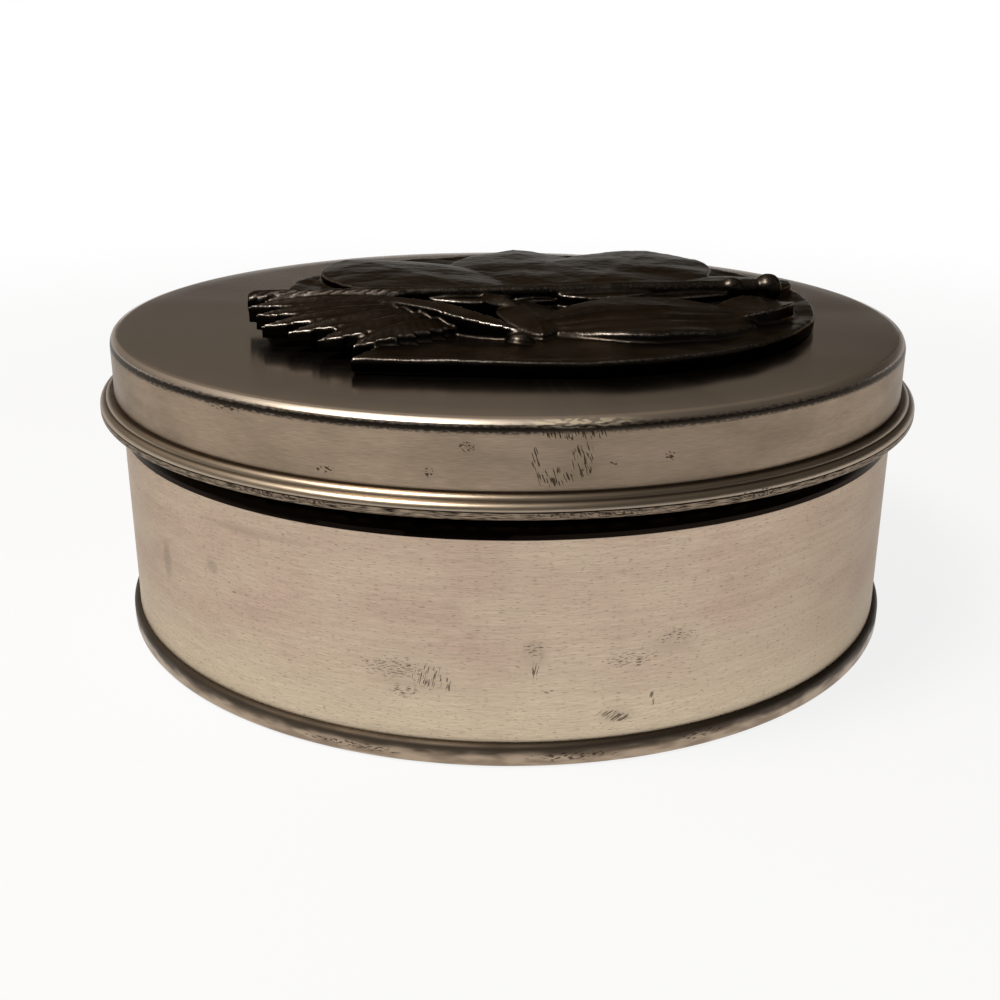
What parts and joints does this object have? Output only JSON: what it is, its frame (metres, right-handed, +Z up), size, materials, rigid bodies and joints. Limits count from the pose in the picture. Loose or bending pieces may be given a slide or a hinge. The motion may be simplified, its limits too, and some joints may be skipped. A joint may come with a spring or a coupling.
{
  "type": "decorative metal tin",
  "caption": "Shut round slip-lid tinplate tin with a curled lid edge, a seamed foot ring and a dark cast leaf medallion on its flat lid.",
  "frame": {"origin": "centre of the base, on the surface the tin stands on", "axes": "+Z up along the tin's axis; -Y is the side the picture shows, +X to its right"},
  "size_m": [0.1298, 0.1298, 0.0531],
  "materials": {
    "body_tinplate": "bare tinplate, satin, finely brushed round the wall, with scuffs and grey smudges",
    "base_tinplate": "bare tinplate, rubbed and stained along the seam",
    "lid_tinplate": "bare tinplate, glossier than the wall, with scratches",
    "cast_pewter": "blackened cast metal, semi-gloss, rubbed bright on its edges"
  },
  "bodies": {
    "root": {"tin_body": "body_tinplate", "bottom_end": "base_tinplate", "lid": "lid_tinplate", "medallion": "cast_pewter"}
  },
  "joints": []
}
